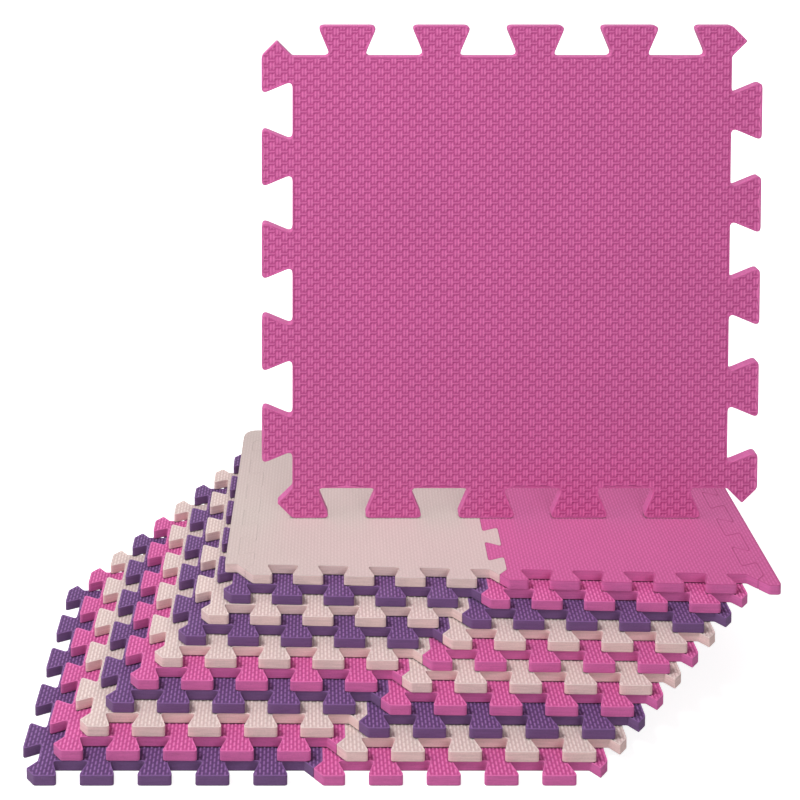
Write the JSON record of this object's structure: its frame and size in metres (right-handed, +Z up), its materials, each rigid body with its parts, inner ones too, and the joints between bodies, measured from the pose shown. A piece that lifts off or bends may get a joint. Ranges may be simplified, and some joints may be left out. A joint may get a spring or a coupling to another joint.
{
  "type": "interlocking foam floor tile stack",
  "caption": "Leaning stack of interlocking foam floor tiles in three colours with a large matching tile standing upright on top.",
  "frame": {"origin": "centre of the underside of the bottom left tile, on the floor", "axes": "+X to the right along the front of the bottom layer, +Y to the back, +Z up; the standing tile's patterned face looks along -Y"},
  "size_m": [0.892, 0.5152, 0.7552],
  "materials": {
    "pink_foam": "soft matte closed-cell foam with an embossed weave",
    "purple_foam": "soft matte closed-cell foam with an embossed weave",
    "cream_foam": "soft matte closed-cell foam with an embossed weave"
  },
  "bodies": {
    "layer_1_left_tile": {"layer_1_left_tile": "purple_foam"},
    "layer_1_right_tile": {"layer_1_right_tile": "pink_foam"},
    "layer_2_left_tile": {"layer_2_left_tile": "pink_foam"},
    "layer_2_right_tile": {"layer_2_right_tile": "cream_foam"},
    "layer_3_left_tile": {"layer_3_left_tile": "cream_foam"},
    "layer_3_right_tile": {"layer_3_right_tile": "purple_foam"},
    "layer_4_left_tile": {"layer_4_left_tile": "purple_foam"},
    "layer_4_right_tile": {"layer_4_right_tile": "pink_foam"},
    "layer_5_left_tile": {"layer_5_left_tile": "pink_foam"},
    "layer_5_right_tile": {"layer_5_right_tile": "cream_foam"},
    "layer_6_left_tile": {"layer_6_left_tile": "cream_foam"},
    "layer_6_right_tile": {"layer_6_right_tile": "pink_foam"},
    "layer_7_left_tile": {"layer_7_left_tile": "purple_foam"},
    "layer_7_right_tile": {"layer_7_right_tile": "cream_foam"},
    "layer_8_left_tile": {"layer_8_left_tile": "cream_foam"},
    "layer_8_right_tile": {"layer_8_right_tile": "purple_foam"},
    "layer_9_left_tile": {"layer_9_left_tile": "purple_foam"},
    "layer_9_right_tile": {"layer_9_right_tile": "pink_foam"},
    "layer_10_left_tile": {"layer_10_left_tile": "cream_foam"},
    "layer_10_right_tile": {"layer_10_right_tile": "pink_foam"},
    "left_border_strip": {"left_border_strip": "cream_foam"},
    "right_border_strip": {"right_border_strip": "pink_foam"},
    "standing_tile": {"standing_tile": "pink_foam"}
  },
  "joints": [
    {"name": "layer_1_right_tile_lift", "type": "slide", "parent": "layer_1_left_tile", "child": "layer_1_right_tile", "axis": [0, 0, 1], "range_m": [0, 0.013]},
    {"name": "layer_2_left_tile_lift", "type": "slide", "parent": "layer_1_right_tile", "child": "layer_2_left_tile", "axis": [0, 0, 1], "range_m": [0, 0.013]},
    {"name": "layer_2_right_tile_lift", "type": "slide", "parent": "layer_2_left_tile", "child": "layer_2_right_tile", "axis": [0, 0, 1], "range_m": [0, 0.013]},
    {"name": "layer_3_left_tile_lift", "type": "slide", "parent": "layer_2_right_tile", "child": "layer_3_left_tile", "axis": [0, 0, 1], "range_m": [0, 0.013]},
    {"name": "layer_3_right_tile_lift", "type": "slide", "parent": "layer_3_left_tile", "child": "layer_3_right_tile", "axis": [0, 0, 1], "range_m": [0, 0.013]},
    {"name": "layer_4_left_tile_lift", "type": "slide", "parent": "layer_3_right_tile", "child": "layer_4_left_tile", "axis": [0, 0, 1], "range_m": [0, 0.013]},
    {"name": "layer_4_right_tile_lift", "type": "slide", "parent": "layer_4_left_tile", "child": "layer_4_right_tile", "axis": [0, 0, 1], "range_m": [0, 0.013]},
    {"name": "layer_5_left_tile_lift", "type": "slide", "parent": "layer_4_right_tile", "child": "layer_5_left_tile", "axis": [0, 0, 1], "range_m": [0, 0.013]},
    {"name": "layer_5_right_tile_lift", "type": "slide", "parent": "layer_5_left_tile", "child": "layer_5_right_tile", "axis": [0, 0, 1], "range_m": [0, 0.013]},
    {"name": "layer_6_left_tile_lift", "type": "slide", "parent": "layer_5_right_tile", "child": "layer_6_left_tile", "axis": [0, 0, 1], "range_m": [0, 0.013]},
    {"name": "layer_6_right_tile_lift", "type": "slide", "parent": "layer_6_left_tile", "child": "layer_6_right_tile", "axis": [0, 0, 1], "range_m": [0, 0.013]},
    {"name": "layer_7_left_tile_lift", "type": "slide", "parent": "layer_6_right_tile", "child": "layer_7_left_tile", "axis": [0, 0, 1], "range_m": [0, 0.013]},
    {"name": "layer_7_right_tile_lift", "type": "slide", "parent": "layer_7_left_tile", "child": "layer_7_right_tile", "axis": [0, 0, 1], "range_m": [0, 0.013]},
    {"name": "layer_8_left_tile_lift", "type": "slide", "parent": "layer_7_right_tile", "child": "layer_8_left_tile", "axis": [0, 0, 1], "range_m": [0, 0.013]},
    {"name": "layer_8_right_tile_lift", "type": "slide", "parent": "layer_8_left_tile", "child": "layer_8_right_tile", "axis": [0, 0, 1], "range_m": [0, 0.013]},
    {"name": "layer_9_left_tile_lift", "type": "slide", "parent": "layer_8_right_tile", "child": "layer_9_left_tile", "axis": [0, 0, 1], "range_m": [0, 0.013]},
    {"name": "layer_9_right_tile_lift", "type": "slide", "parent": "layer_9_left_tile", "child": "layer_9_right_tile", "axis": [0, 0, 1], "range_m": [0, 0.013]},
    {"name": "layer_10_left_tile_lift", "type": "slide", "parent": "layer_9_right_tile", "child": "layer_10_left_tile", "axis": [0, 0, 1], "range_m": [0, 0.013]},
    {"name": "layer_10_right_tile_lift", "type": "slide", "parent": "layer_10_left_tile", "child": "layer_10_right_tile", "axis": [0, 0, 1], "range_m": [0, 0.013]},
    {"name": "left_border_strip_lift", "type": "slide", "parent": "layer_10_left_tile", "child": "left_border_strip", "axis": [0, 0, 1], "range_m": [0, 0.013]},
    {"name": "right_border_strip_lift", "type": "slide", "parent": "layer_10_right_tile", "child": "right_border_strip", "axis": [0, 0, 1], "range_m": [0, 0.013]},
    {"name": "standing_tile_lift", "type": "slide", "parent": "right_border_strip", "child": "standing_tile", "axis": [0, 0, 1], "range_m": [0, 0.02]}
  ]
}
